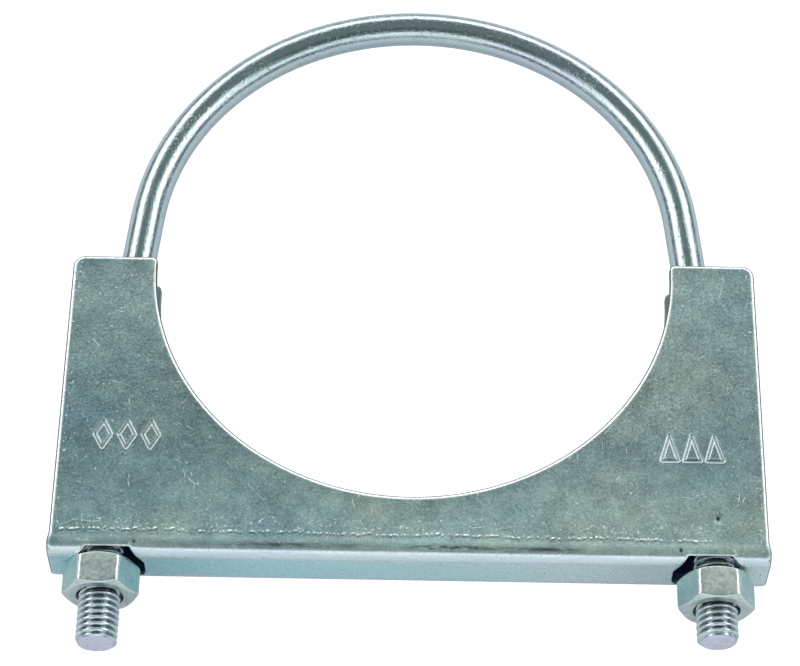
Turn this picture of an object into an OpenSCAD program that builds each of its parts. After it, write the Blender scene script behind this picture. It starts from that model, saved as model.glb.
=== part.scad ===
// U-bolt pipe clamp: a threaded U-bolt, a folded sheet saddle and two plain hex nuts.
// It lies on its back plate: +Z is the pipe's axis, -Y is the way the legs point,
// and the origin is the centre of the saddle's pipe seat, halfway through its depth.

/* [Pipe] */
// Outside diameter of the pipe that the clamp closes on
pipe_d = 102; // [98:1:104]

/* [U-bolt] */
// Diameter of the plain rod of the ring
rod_d = 7; // [6:0.1:7.6]
// Major diameter of the rolled thread on the legs
thread_d = 7.9; // [7.7:0.05:8]
// How much further out than the ring's own radius each leg stands where it passes the saddle's web
leg_spread = 3.34; // [2.9:0.02:3.8]
// Height of the ring's centre over the pipe seat's centre, with the clamp open as stored
ring_lift = 10.2; // [6:0.1:12]
// Angle by which each end of the ring's arc stops short of a half circle
ring_short = 6.5; // [6:0.1:8]
// Where the left leg ends, below the pipe seat's centre
left_end = 79.9; // [78:0.1:84]
// Where the right leg ends, below the pipe seat's centre
right_end = 77.5; // [77:0.1:84]
// Length of the 45 degree chamfer on each leg's end
end_chamfer = 0.7; // [0.3:0.1:1]

/* [Saddle] */
// Half the saddle's width across its two ears
half_w = 67.7; // [66:0.1:70]
// Outside depth of the saddle, along the pipe
depth = 13; // [12.4:0.1:14]
// Thickness of the sheet
sheet_t = 2; // [1.6:0.1:2.1]
// Height of the ears' tops over the pipe seat's centre
ear_top = 2; // [0:0.1:4]
// Outer face of the web, below the pipe seat's centre
web_y = 63.55; // [62.5:0.05:65]
// Outside radius of the two folds
fold_r = 3; // [2.6:0.1:3.2]
// Radius of each ear's outer corner
ear_r_out = 2.4; // [1:0.1:4]
// Radius of each ear's inner corner, beside the pipe
ear_r_in = 1.1; // [0.5:0.1:2]
// How far the folds bulge past the saddle's straight ends
fold_bulge = 0.35; // [0.1:0.05:0.6]

/* [Leg holes] */
// How far inside its leg's axis each leg hole is centred
hole_inset = 1.3; // [0.6:0.1:1.8]
// Width of a leg hole across the web
hole_w = 13.4; // [12.6:0.1:14]
// Width of a leg hole's straight front edge, up on the front fold
hole_front_w = 8.2; // [6:0.1:9]

/* [Nuts] */
// Width of a nut across its flats
nut_s = 13; // [12.6:0.1:13]
// Height of a nut
nut_h = 6.5; // [5.5:0.1:6.8]
// Radius of a nut's bore, a running fit on the leg's thread
nut_bore_r = 4.0; // [4:0.01:4.05]
// Gap between the left nut and the web
left_nut_gap = 0.05; // [0.02:0.01:1]
// Gap between the right nut and the web
right_nut_gap = 0.9; // [0.05:0.05:1.4]

/* [Hidden] */
e = 0.01;
seat_r = pipe_d / 2;
h = depth / 2;
rod_r = rod_d / 2;
thr_r = thread_d / 2;
// The ring grips the same pipe as the seat, with a hair of clearance for the plating
ring_r = seat_r + 0.06 + rod_r;
leg_x = ring_r + leg_spread;
hole_x = leg_x - hole_inset;
// Below the ring each leg carries on turning on a much larger radius until it is parallel to the other
leg_r = (leg_x - ring_r * cos(ring_short)) / (1 - cos(ring_short));
straight_y = ring_lift + (ring_r - leg_r) * sin(ring_short);
neck = 1.2;
fold_y = -web_y + fold_r;
fold_z = h - fold_r;
in_r = fold_r - sheet_t;
hole_front_a = 52;

// The section of the folded sheet, drawn with the pipe's axis across and the legs' direction down
module channel_section() {
    difference() {
        union() {
            translate([-h, fold_y]) square([2 * h, ear_top - fold_y]);
            translate([-fold_z, -web_y]) square([2 * fold_z, fold_r + e]);
            for (s = [-1, 1]) translate([s * fold_z, fold_y]) circle(r = fold_r, $fn = 96);
        }
        translate([-(h - sheet_t), fold_y]) square([2 * (h - sheet_t), ear_top - fold_y + 1]);
        translate([-(h - sheet_t) + in_r, -web_y + sheet_t]) square([2 * (h - sheet_t - in_r), fold_r]);
        for (s = [-1, 1]) translate([s * (h - sheet_t - in_r), fold_y]) circle(r = in_r, $fn = 96);
    }
}

// A square corner with its round taken out, to be cut away: corner at the origin, material towards -X and -Y
module corner_waste(r) {
    difference() {
        translate([-r, -r]) square([r + 1, r + 1]);
        translate([-r, -r]) circle(r = r, $fn = 64);
    }
}

// The outline of the saddle seen along the pipe: ears, straight ends, bulged fold ends and the pipe seat
module saddle_outline() {
    seat_c = sqrt(pow(seat_r + ear_r_in, 2) - pow(ear_top - ear_r_in, 2));
    difference() {
        polygon([[half_w, ear_top], [half_w, fold_y + 0.6], [half_w + fold_bulge, fold_y - 0.2],
            [half_w + fold_bulge, -web_y - 1], [-half_w - fold_bulge, -web_y - 1],
            [-half_w - fold_bulge, fold_y - 0.2], [-half_w, fold_y + 0.6], [-half_w, ear_top]]);
        circle(r = seat_r, $fn = 360);
        translate([-seat_r + 0.5, 0]) square([2 * seat_r - 1, ear_top + 1]);
        for (s = [-1, 1]) mirror([s < 0 ? 1 : 0, 0]) {
            translate([half_w, ear_top]) corner_waste(ear_r_out);
            // inner corner: between the seat's arc and the ear's top
            difference() {
                polygon([[seat_c, ear_top + 1], [seat_c, ear_top - ear_r_in],
                    [seat_c * seat_r / (seat_r + ear_r_in), (ear_top - ear_r_in) * seat_r / (seat_r + ear_r_in)],
                    [seat_r - 1, ear_top - ear_r_in], [seat_r - 1, ear_top + 1]]);
                translate([seat_c, ear_top - ear_r_in]) circle(r = ear_r_in, $fn = 64);
            }
        }
    }
}

// One leg hole, centred on X = 0: straight front edge on the front fold, slanting sides, blunt back edge.
// The sheet is punched flat and then folded, so the front edge is cut square to the fold's surface.
module leg_hole() {
    w = hole_w / 2;
    f = hole_front_w / 2;
    z1 = fold_z + fold_r * sin(hole_front_a);
    intersection() {
        translate([0, -web_y + 5, 0]) rotate([90, 0, 0]) linear_extrude(height = 7)
            polygon([[-f, z1], [-w, 1.2], [-w, -2.4], [-w + 0.5, -4.1], [-w + 1.7, -5.0],
                [w - 1.7, -5.0], [w - 0.5, -4.1], [w, -2.4], [w, 1.2], [f, z1]]);
        union() {
            translate([-10, -web_y - 2, -h - 1]) cube([20, sheet_t + 2 + in_r, h + 1 + fold_z]);
            translate([0, fold_y, fold_z]) rotate([-hole_front_a, 0, 0])
                translate([-10, -5, -5]) cube([20, 5, 5]);
        }
    }
}

module saddle() {
    color([0.55, 0.62, 0.62]) difference() {
        intersection() {
            translate([-half_w - 2, 0, 0]) rotate([90, 0, 90]) linear_extrude(height = 2 * half_w + 4)
                rotate(90) mirror([0, 1]) channel_section();
            translate([0, 0, -h - 1]) linear_extrude(height = depth + 2) saddle_outline();
        }
        for (s = [-1, 1]) translate([s * hole_x, 0, 0]) leg_hole();
    }
}

// One leg on +X: the long easy bend below the ring, then the neck, the thread and its chamfered end.
// The bend is a hair thinner than the rod at each of its ends, which it runs into.
module leg(end_y) {
    run = 0.1;
    translate([leg_x - leg_r, straight_y, 0]) rotate(-run) rotate_extrude(angle = ring_short + 2 * run, $fn = 720)
        translate([leg_r, 0]) circle(r = rod_r - 0.02, $fn = 96);
    translate([leg_x, straight_y, 0]) rotate([90, 0, 0]) rotate_extrude($fn = 96)
        polygon([[0, 0], [rod_r, 0], [rod_r, neck], [thr_r, neck + thr_r - rod_r],
            [thr_r, end_y + straight_y - end_chamfer], [thr_r - end_chamfer, end_y + straight_y], [0, end_y + straight_y]]);
}

module u_bolt() {
    color([0.72, 0.74, 0.76]) union() {
        translate([0, ring_lift, 0]) rotate(ring_short) rotate_extrude(angle = 180 - 2 * ring_short, $fn = 360)
            translate([ring_r, 0]) circle(r = rod_r, $fn = 96);
        leg(right_end);
        mirror([1, 0, 0]) leg(left_end);
    }
}

// A plain hex nut whose upper face is at Y = 0 and whose axis points to -Y
module nut() {
    cone = tan(30);
    cr = nut_s / cos(30) / 2 + 0.05;
    fr = nut_s / 2 * 0.97;
    rotate([90, 0, 0]) difference() {
        intersection() {
            cylinder(r = nut_s / cos(30) / 2, h = nut_h, $fn = 6);
            rotate_extrude($fn = 128) polygon([[0, 0], [fr, 0], [cr, (cr - fr) * cone],
                [cr, nut_h - (cr - fr) * cone], [fr, nut_h], [0, nut_h]]);
        }
        translate([0, 0, -1]) cylinder(r = nut_bore_r, h = nut_h + 2, $fn = 96);
        translate([0, 0, -e]) cylinder(r1 = nut_bore_r + 0.45, r2 = nut_bore_r, h = 0.3, $fn = 96);
        translate([0, 0, nut_h - 0.3 + e]) cylinder(r1 = nut_bore_r, r2 = nut_bore_r + 0.45, h = 0.3, $fn = 96);
    }
}

module nut_left() {
    color([0.62, 0.66, 0.62]) translate([-leg_x, -web_y - left_nut_gap, 0]) nut();
}

module nut_right() {
    color([0.62, 0.66, 0.62]) translate([leg_x, -web_y - right_nut_gap, 0]) nut();
}

saddle();
u_bolt();
nut_left();
nut_right();
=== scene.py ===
import math
import random

import bpy
import numpy as np
from mathutils import Matrix, Vector
from mathutils.geometry import delaunay_2d_cdt


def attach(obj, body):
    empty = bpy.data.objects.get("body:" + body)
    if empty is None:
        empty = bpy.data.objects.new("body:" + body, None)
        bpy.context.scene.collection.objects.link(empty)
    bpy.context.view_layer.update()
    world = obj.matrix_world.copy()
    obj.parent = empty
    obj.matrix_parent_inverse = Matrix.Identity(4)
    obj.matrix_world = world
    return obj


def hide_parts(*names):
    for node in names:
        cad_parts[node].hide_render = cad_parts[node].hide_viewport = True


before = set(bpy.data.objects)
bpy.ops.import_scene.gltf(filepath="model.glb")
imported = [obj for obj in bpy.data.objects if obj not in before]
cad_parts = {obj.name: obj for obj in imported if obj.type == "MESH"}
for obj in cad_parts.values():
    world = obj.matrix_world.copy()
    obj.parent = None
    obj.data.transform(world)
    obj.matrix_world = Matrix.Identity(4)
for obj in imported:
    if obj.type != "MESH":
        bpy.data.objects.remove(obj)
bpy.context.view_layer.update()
MM = 0.001
random.seed(7)
rng = np.random.default_rng(7)

# ---------------------------------------------------------------- sizes, in mm, as the frame has them
SEAT_R = 51.0
ROD_R = 3.5
THR_R = 3.95
RING_R = 54.56
LEG_X = 57.90
RING_LIFT = 10.2
SHORT = math.radians(6.5)
LEG_R = (LEG_X - RING_R * math.cos(SHORT)) / (1 - math.cos(SHORT))
STRAIGHT_Y = RING_LIFT + (RING_R - LEG_R) * math.sin(SHORT)
LEFT_END, RIGHT_END = 79.9, 77.5
PITCH = 1.25
HALF_W, BULGE = 67.7, 0.34
EAR_TOP, WEB_Y = 2.0, 63.55
H, SHEET = 6.5, 2.0
FOLD_R = 3.0
FOLD_Y, FOLD_Z = -WEB_Y + FOLD_R, H - FOLD_R
HOLE_X = 56.6
NUT_TOP = {"nut_left": WEB_Y + 0.05, "nut_right": WEB_Y + 0.9}
NUT_H, NUT_S = 6.5, 13.0


def smooth(a, b, x):
    t = np.clip((np.asarray(x, float) - a) / (b - a), 0, 1)
    return t * t * (3 - 2 * t)


def outward(v, faces):
    """The faces of a closed mesh, wound so that their normals point out of it."""
    vol = 0.0
    for n in sorted({len(f) for f in faces}):
        q = v[np.array([f for f in faces if len(f) == n])]
        for k in range(1, n - 1):
            vol += np.einsum("ij,ij->i", q[:, 0], np.cross(q[:, k], q[:, k + 1])).sum()
    return faces if vol > 0 else [f[::-1] for f in faces]


def new_mesh(name, verts, faces, attrs=None, smooth_all=True):
    me = bpy.data.meshes.new(name)
    faces = outward(np.asarray(verts, float), faces)
    me.from_pydata((np.asarray(verts, float) * MM).tolist(), [], faces)
    me.validate(clean_customdata=False)
    for k, v in (attrs or {}).items():
        a = me.attributes.new(k, "FLOAT", "POINT")
        a.data.foreach_set("value", np.asarray(v, np.float32))
    if smooth_all:
        me.polygons.foreach_set("use_smooth", [True] * len(me.polygons))
    me.update()
    ob = bpy.data.objects.new(name, me)
    bpy.context.scene.collection.objects.link(ob)
    return ob


# ================================================================ the saddle: one blank, punched and folded
FOLD_LEN = FOLD_R * math.pi / 2
S_FOLD = FOLD_Z                       # where the fold starts, from the middle of the web
S_PLATE = FOLD_Z + FOLD_LEN           # where the flat plate starts
S_TOP = S_PLATE + EAR_TOP - FOLD_Y    # the ears' tops


def half_width(s):
    """The blank's half width: the sheet bulges at its folds."""
    a = np.abs(s)
    return HALF_W + BULGE * smooth(S_PLATE + 1.2, S_PLATE - 1.3, a)


def fold_up(x, s, t, lift=0.0):
    """Blank coordinates (x, s), depth t under the outer face -> the folded sheet's x, y, z."""
    x, s, t = np.broadcast_arrays(np.asarray(x, float), np.asarray(s, float), np.asarray(t, float) - lift)
    a, g = np.abs(s), np.where(s < 0, -1.0, 1.0)
    f = np.clip((a - S_FOLD) / FOLD_R, 0, math.pi / 2)
    y = np.where(a <= S_FOLD, -WEB_Y, FOLD_Y - FOLD_R * np.cos(f)) + np.maximum(0, a - S_PLATE)
    z = np.where(a <= S_FOLD, s, g * (FOLD_Z + FOLD_R * np.sin(f)))
    ny, nz = -np.cos(f), g * np.sin(f)
    return np.stack([x, y - t * ny, z - t * nz], -1)


def plate_s(y):
    return y - FOLD_Y + S_PLATE


def arc_pts(cx, cy, r, a0, a1, step):
    n = max(2, int(math.ceil(abs(a1 - a0) * r / step)))
    a = np.linspace(a0, a1, n + 1)
    return np.stack([cx + r * np.cos(a), cy + r * np.sin(a)], 1)


def line_pts(p, q, step):
    p, q = np.asarray(p, float), np.asarray(q, float)
    n = max(1, int(round(np.linalg.norm(q - p) / step)))
    return p + (q - p) * np.linspace(0, 1, n + 1)[:, None]


def dedupe(p):
    keep = [0]
    for i in range(1, len(p)):
        if np.linalg.norm(p[i] - p[keep[-1]]) > 1e-4:
            keep.append(i)
    if np.linalg.norm(p[keep[-1]] - p[0]) < 1e-4:
        keep.pop()
    return p[keep]


def plate_outline(sign):
    """The plate's edge from its right side to its left, in (x, y); the sign argument is not used."""
    ro, ri = 2.4, 1.1
    cx = math.sqrt((SEAT_R + ri) ** 2 - (EAR_TOP - ri) ** 2)
    tx, ty = cx * SEAT_R / (SEAT_R + ri), (EAR_TOP - ri) * SEAT_R / (SEAT_R + ri)
    a0 = math.atan2(ty, tx)
    ai = math.atan2(ty - (EAR_TOP - ri), tx - cx) % (2 * math.pi)
    parts = [arc_pts(HALF_W - ro, EAR_TOP - ro, ro, 0, math.pi / 2, 0.22),
             line_pts((HALF_W - ro, EAR_TOP), (cx, EAR_TOP), 0.7),
             arc_pts(cx, EAR_TOP - ri, ri, math.pi / 2, ai, 0.16),
             arc_pts(0, 0, SEAT_R, a0, -math.pi - a0, 0.75)]
    right = np.concatenate(parts)
    left_i = arc_pts(-cx, EAR_TOP - ri, ri, math.pi - ai, math.pi / 2, 0.16)
    left = np.concatenate([left_i, line_pts((-cx, EAR_TOP), (-HALF_W + ro, EAR_TOP), 0.7),
                           arc_pts(-HALF_W + ro, EAR_TOP - ro, ro, math.pi / 2, math.pi, 0.22)])
    return dedupe(np.concatenate([right, left]))


def blank_outline():
    p = plate_outline(1)
    front = np.stack([p[:, 0], plate_s(p[:, 1])], 1)          # right to left over the front plate
    back = np.stack([p[::-1, 0], -plate_s(p[::-1, 1])], 1)    # left to right over the back plate
    s_hi = plate_s(EAR_TOP - 2.4)
    ss = np.concatenate([np.arange(-s_hi + 0.8, -S_PLATE - 2, 0.8), np.linspace(-S_PLATE - 2, S_PLATE + 2, 64),
                         np.arange(S_PLATE + 2.8, s_hi, 0.8)])
    side_r = np.stack([half_width(ss), ss], 1)
    side_l = np.stack([-half_width(ss[::-1]), ss[::-1]], 1)
    return dedupe(np.concatenate([side_r, front, side_l, back]))


def fillet(poly, radii, step=0.12):
    """Rounds each corner of a polygon."""
    out = []
    n = len(poly)
    for i in range(n):
        p, a, b = poly[i], poly[i - 1], poly[(i + 1) % n]
        u, v = (a - p) / np.linalg.norm(a - p), (b - p) / np.linalg.norm(b - p)
        half = math.acos(np.clip(u @ v, -1, 1)) / 2
        r = radii[i]
        d = r / math.tan(half)
        c = p + (u + v) / np.linalg.norm(u + v) * r / math.sin(half)
        p0, p1 = p + u * d, p + v * d
        t0, t1 = math.atan2(*(p0 - c)[::-1]), math.atan2(*(p1 - c)[::-1])
        dt = (t1 - t0 + math.pi) % (2 * math.pi) - math.pi
        out.append(arc_pts(c[0], c[1], r, t0, t0 + dt, step))
    res = []
    for i in range(n):
        res.append(out[i])
        res.append(line_pts(out[i][-1], out[(i + 1) % n][0], 0.35)[1:-1])
    return dedupe(np.concatenate([r for r in res if len(r)]))


def leg_hole_outline(sx):
    s1 = S_FOLD + FOLD_R * math.radians(52)
    s2 = -(S_FOLD + FOLD_R * math.asin(0.5))
    s3 = -(S_FOLD + FOLD_R * math.asin(0.2))
    h = np.array([[-4.1, s1], [-6.7, 1.2], [-6.7, -2.4], [-6.2, s3], [-5.0, s2], [5.0, s2], [6.2, s3], [6.7, -2.4], [6.7, 1.2], [4.1, s1]])
    p = fillet(h, [0.45, 1.6, 2.2, 0.9, 0.9, 0.9, 0.9, 2.2, 1.6, 0.45])
    p[:, 0] += sx * HOLE_X
    return p


def area2(p):
    q = np.roll(p, -1, 0)
    return float(np.sum(p[:, 0] * q[:, 1] - q[:, 0] * p[:, 1]))


def inward(p, outer):
    """Unit normals of a closed loop that point into the sheet."""
    if (area2(p) > 0) != outer:
        p = p[::-1]
    d = np.roll(p, -1, 0) - np.roll(p, 1, 0)
    d /= np.linalg.norm(d, axis=1)[:, None]
    return p, np.stack([-d[:, 1], d[:, 0]], 1)


def in_poly(pts, poly):
    x, y = pts[:, 0][:, None], pts[:, 1][:, None]
    x0, y0 = poly[:, 0][None], poly[:, 1][None]
    x1, y1 = np.roll(poly[:, 0], -1)[None], np.roll(poly[:, 1], -1)[None]
    c = ((y0 > y) != (y1 > y)) & (x < (x1 - x0) * (y - y0) / (y1 - y0 + 1e-30) + x0)
    return c.sum(1) % 2 == 1


def seg_dist(pts, a, b):
    a, b = np.asarray(a, float), np.asarray(b, float)
    d = b - a
    t = np.clip(((pts - a) @ d) / (d @ d), 0, 1)
    return np.linalg.norm(pts - a - t[:, None] * d, axis=1)


# Small stamped marks, plain outlines: three diamonds on the left ear and three triangles on the right one
def marks():
    segs = []
    for i in range(3):
        cx, cy, w, h = -59.0 + 4.6 * i, -38.6, 1.55, 2.9
        q = [(cx - w, cy), (cx, cy + h), (cx + w, cy), (cx, cy - h)]
        segs += [(q[k], q[(k + 1) % 4]) for k in range(4)]
    for i in range(3):
        cx, cy, w, h = 49.6 + 4.3 * i, -39.7, 1.6, 2.7
        q = [(cx - w, cy - h), (cx + w, cy - h), (cx, cy + h)]
        segs += [(q[k], q[(k + 1) % 3]) for k in range(3)]
    return segs


MARKS = marks()
# The row of short nicks that the folding die leaves just over the fold
NICKS = []
_x = -67.0
while _x < 56:
    run = random.uniform(1.5, 6.5)
    x = _x
    while x < _x + run and x < 57:
        length = random.choice((0.16, 0.22, 0.3, 0.45, 0.8)) * random.uniform(0.8, 1.2)
        NICKS.append((x, -59.05 + 0.12 * math.sin(x * 0.21) - 0.004 * (x + 60) + random.uniform(-0.19, 0.16), length,
                      random.uniform(-0.8, 1.6), random.uniform(0.055, 0.105)))
        x += length + random.choice((0.12, 0.2, 0.35, 0.6)) + random.uniform(0.0, 0.25)
    _x += run + random.uniform(0.3, 1.5)
PITS = [(58.2, -54.8, 0.50, 0.20), (51.0, -61.5, 0.40, 0.14), (-51.6, -61.55, 0.30, 0.10), (-55.4, -42.9, 0.2, -0.05), (-54.9, -42.7, 0.2, -0.05), (-54.3, -43.0, 0.18, -0.05)]
# Burrs that the punch has raised at the front corners of the leg holes: x, unrolled y, length, width, angle, height
BURRS = [(-62.0, -61.45, 0.50, 0.26, -0.2, 0.10), (-61.1, -61.75, 0.45, 0.22, 0.9, 0.10), (-60.45, -61.5, 0.60, 0.20, 1.0, 0.11), (-59.9, -61.7, 0.50, 0.18, 1.0, 0.10),
         (-52.3, -61.9, 0.45, 0.24, 0.3, 0.10), (60.9, -61.6, 0.45, 0.24, -0.9, 0.10), (61.3, -62.0, 0.55, 0.20, 0.2, 0.10), (52.4, -61.9, 0.5, 0.2, 0.4, 0.09)]
FRONT_EDGE = FOLD_Z + FOLD_R * math.radians(52) + FOLD_Y - (FOLD_Z + FOLD_R * math.pi / 2)     # the holes' front edges, unrolled y


def burrs(x, y):
    h, lit = np.zeros(len(x)), np.zeros(len(x))
    for bx, by, ln, wd, ang, amp in BURRS:
        u = (x - bx) * math.cos(ang) + (y - by) * math.sin(ang)
        v = -(x - bx) * math.sin(ang) + (y - by) * math.cos(ang)
        k = np.exp(-(u / ln) ** 2 - (v / wd) ** 2)
        h += amp * k
        # lit paints a highlight over the whole burr
        lit = np.maximum(lit, smooth(0.25, 0.8, k))
    return h, lit


def pit_darkening(x, y):
    """The pits are darker."""
    d = np.zeros(len(x))
    for px, py, r, dep in PITS:
        if dep > 0:
            d = np.maximum(d, smooth(1.0, 0.55, np.hypot(x - px, (y - py) * 0.9) / (r * 1.15)))
    return d


def relief(x, y):
    """Height of the front plate's outer face over flat, in mm, at (x, y)."""
    p = np.stack([x, y], 1)
    h = np.zeros(len(p))
    near = ((np.abs(x + 54.4) < 8.5) | (np.abs(x - 53.9) < 8.5)) & (np.abs(y + 39) < 5)
    if near.any():
        d = np.full(len(p), 9.0)
        for a, b in MARKS:
            d[near] = np.minimum(d[near], seg_dist(p[near], a, b))
        h += -0.17 * smooth(0.34, 0.12, d) + 0.045 * np.exp(-((d - 0.46) / 0.11) ** 2)
    row = np.abs(y + 59.1) < 1.2
    if row.any():
        q = p[row]
        add = np.zeros(len(q))
        for nx, ny, ln, tilt, amp in NICKS:
            m = np.abs(q[:, 0] - nx) < 1.5
            if m.any():
                dx, dy = q[m, 0] - nx - ln / 2, q[m, 1] - ny - tilt * 0.25 * (q[m, 0] - nx)
                add[m] += amp * np.exp(-(dx / (ln * 0.55)) ** 2 - (dy / 0.26) ** 2) - 0.4 * amp * np.exp(-(dx / (ln * 0.6)) ** 2 - ((dy + 0.42) / 0.18) ** 2)
        h[row] += add
    for px, py, r, dep in PITS:
        h -= dep * np.exp(-(((x - px) ** 2 + (y - py) ** 2) / (r * r)))
    h += burrs(x, y)[0]
    # the press leaves the plate a little uneven
    h += 0.012 * np.sin(x * 0.19 + 1.3) * np.sin(y * 0.23) + 0.008 * np.sin(x * 0.41 - y * 0.37)
    return h


LOW = 0.09


def burnish_and_highlight(x, y):
    """How much the front plate is burnished or carries a painted highlight at (x, y): the raised lips of the marks are
    burnished, and the crests of the nicks get a painted highlight on their sides away from the fold.
    """
    p = np.stack([x, y], 1)
    out = np.zeros(len(p))
    near = ((np.abs(x + 54.4) < 8.5) | (np.abs(x - 53.9) < 8.5)) & (np.abs(y + 39) < 5)
    if near.any():
        d = np.full(len(p), 9.0)
        for a, b in MARKS:
            d[near] = np.minimum(d[near], seg_dist(p[near], a, b))
        out = np.maximum(out, 0.85 * np.exp(-((d - 0.36) / 0.13) ** 2))
    row = np.abs(y + 59.1) < 1.2
    if row.any():
        q = p[row]
        add = np.zeros(len(q))
        for nx, ny, ln, tilt, amp in NICKS:
            m = np.abs(q[:, 0] - nx) < 1.5
            if m.any():
                dx, dy = q[m, 0] - nx - ln / 2, q[m, 1] - ny - tilt * 0.25 * (q[m, 0] - nx)
                # painted highlight on the side of each nick away from the fold
                add[m] = np.maximum(add[m], np.exp(-(dx / (ln * 0.62)) ** 2 - ((dy - 0.10) / 0.22) ** 2))
        out[row] = np.maximum(out[row], smooth(0.18, 0.55, add))
    return np.maximum(out, burrs(x, y)[1])


def build_saddle():
    outer, n_out = inward(blank_outline(), True)
    holes = [inward(leg_hole_outline(s), False) for s in (-1, 1)]
    loops = [(outer, n_out, 0.95, 0.46, 0.16)] + [(p, n, 0.44, 0.30, 0.10) for p, n in holes]

    verts, faces, wear_and_sheen, darkening = [], [], [], []
    base = 0

    def add(v):
        nonlocal base
        verts.append(v)
        base += len(v)
        return base - len(v)

    # The cut edge: a rounded outer rim, a straight wall and a small inner break
    rim_out, rim_in = [], []
    for p, nrm, ra, rb, ri in loops:
        outside = ra > 0.6
        if outside:
            prof = [(ra * (1 - math.sin(a)), rb * (1 - math.cos(a))) for a in np.linspace(0, math.pi / 2, 13)]
        else:
            prof = [(ra, 0.0), (0.38, 0.006), (0.30, 0.026), (0.12, 0.078), (0.05, 0.12), (0.015, 0.19), (0.0, rb)]
        prof += [(0.0, 0.5 * (rb + SHEET - ri))]
        prof += [(ri * (1 - math.cos(a)), SHEET - ri + ri * math.sin(a)) for a in np.linspace(0, math.pi / 2, 4)]
        rows = []
        for d, t in prof:
            q = p + nrm * d
            rows.append(add(fold_up(q[:, 0], q[:, 1], t)))
            if outside:
                # painted highlight along the top rim of the cut edge, full on the plates and a quarter as strong on the
                # fold and web
                w = float(smooth(0.0, 0.03, t) * smooth(0.17, 0.11, t))
                wear_and_sheen.append(w * smooth(S_PLATE - 1.2, S_PLATE + 0.8, np.abs(q[:, 1])) + 0.25 * w * smooth(S_PLATE + 0.8, S_PLATE - 1.2, np.abs(q[:, 1])))
                # the cut wall under the rim is darkened
                darkening.append(np.full(len(q), 0.72 * float(smooth(0.11, 0.18, t) * smooth(1.9, 1.7, t))))
            else:
                # painted highlight along the holes' top rims, on their front-plate side only
                wear_and_sheen.append(np.full(len(q), float(smooth(0.0, 0.02, t) * smooth(0.2, 0.12, t))) * smooth(-1.0, 3.5, q[:, 1]))
                # the holes' walls are darkened
                darkening.append(np.full(len(q), 0.6 * float(smooth(0.2, 0.4, t))))
        n = len(p)
        for r in range(len(rows) - 1):
            for i in range(n):
                j = (i + 1) % n
                faces.append((rows[r] + i, rows[r + 1] + i, rows[r + 1] + j, rows[r] + j))
        rim_out.append((rows[0], p + nrm * prof[0][0]))
        rim_in.append((rows[-1], p + nrm * prof[-1][0]))

    def fill(rims, depth, pts, flip):
        """Triangles between the rims, through the given inside points."""
        co, edges, index = [], [], []
        for start, q in rims:
            k = len(co)
            n = len(q)
            co += [Vector(v) for v in q.tolist()]
            index += list(range(start, start + n))
            edges += [(k + i, k + (i + 1) % n) for i in range(n)]
        # rows run parallel to the folds, so that the bends stay smooth
        ok = in_poly(pts, rims[0][1])
        for _, q in rims[1:]:
            ok &= ~in_poly(pts, q)
        pts = pts[ok]
        rim = np.concatenate([q for _, q in rims])
        keep = np.ones(len(pts), bool)
        for k in range(0, len(pts), 4000):
            d = ((pts[k:k + 4000, None] - rim[None]) ** 2).sum(-1).min(1)
            keep[k:k + 4000] = d > 0.13 ** 2
        pts = pts[keep]
        flat = np.abs(pts[:, 1]) > S_PLATE
        if depth == 0:
            x, sv = pts[:, 0], pts[:, 1]
            up = sv > S_FOLD + 0.6
            yy = sv + FOLD_Y - S_PLATE
            near = np.array([np.sqrt(((rim - q) ** 2).sum(1).min()) for q in pts])
            away = np.where(flat, smooth(0.1, 0.9, near), smooth(0.0, 0.25, near))
            lift = np.where(up, relief(x, yy) - LOW * smooth(S_PLATE - 2.0, S_PLATE, sv), 0.0) * away
            # nothing stands above the plate's own flat face or below the web's
            f = np.clip((np.abs(sv) - S_FOLD) / FOLD_R, 0, math.pi / 2)
            room = np.minimum(FOLD_R / np.maximum(np.sin(f), 0.05), FOLD_R / np.maximum(np.cos(f), 0.05)) - FOLD_R
            lift = np.minimum(lift, np.where(flat, 0.0, room))
            wear_and_sheen.append(np.where(up, burnish_and_highlight(x, yy), 0.0))
            darkening.append(np.where(up, pit_darkening(x, yy), 0.0))
        else:
            lift = np.zeros(len(pts))
            wear_and_sheen.append(np.zeros(len(pts)))
            darkening.append(np.zeros(len(pts)))
        first = add(fold_up(pts[:, 0], pts[:, 1], depth, lift))
        index += list(range(first, first + len(pts)))
        co += [Vector(v) for v in pts.tolist()]
        # a slight barrel warp, so that no straight side is exactly straight while the triangles are chosen
        plan = np.array([(v.x, v.y) for v in co])
        bent = [Vector((x * (1 - 1e-5 * y * y), y * (1 - 1e-5 * x * x))) for x, y in plan.tolist()]
        out = delaunay_2d_cdt(bent, edges, [], 1, 1e-6)     # 1: only the triangles inside the rim
        orig = out[3]
        tri = [t for t in out[2] if all(orig[v] for v in t)]
        c = np.array([plan[[orig[v][0] for v in t]].mean(0) for t in tri])
        good = np.ones(len(tri), bool)
        for _, q in rims[1:]:
            good &= ~in_poly(c, q)
        for t, g in zip(tri, good):
            ids = [index[orig[v][0]] for v in t]
            if g and len(set(ids)) == len(ids):
                faces.append(tuple(ids if flip else ids[::-1]))

    def rows(step_x, s_list, jitter=True):
        out = []
        for k, s in enumerate(s_list):
            xs = np.arange(-70, 70, step_x) + (0.5 * step_x if k % 2 and jitter else 0.0)
            out.append(np.stack([xs, np.full(len(xs), s)], 1))
        return np.concatenate(out)

    web = np.linspace(-S_FOLD, S_FOLD, 6)
    bend = np.linspace(S_FOLD, S_PLATE, 15)[1:]
    s_lo = np.arange(S_PLATE + 0.95, S_TOP, 1.1)
    coarse = rows(1.3, np.concatenate([-s_lo[::-1], -bend[::-1]]))
    mid = rows(0.8, np.concatenate([web, bend]))
    front = rows(0.9, s_lo)
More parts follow.
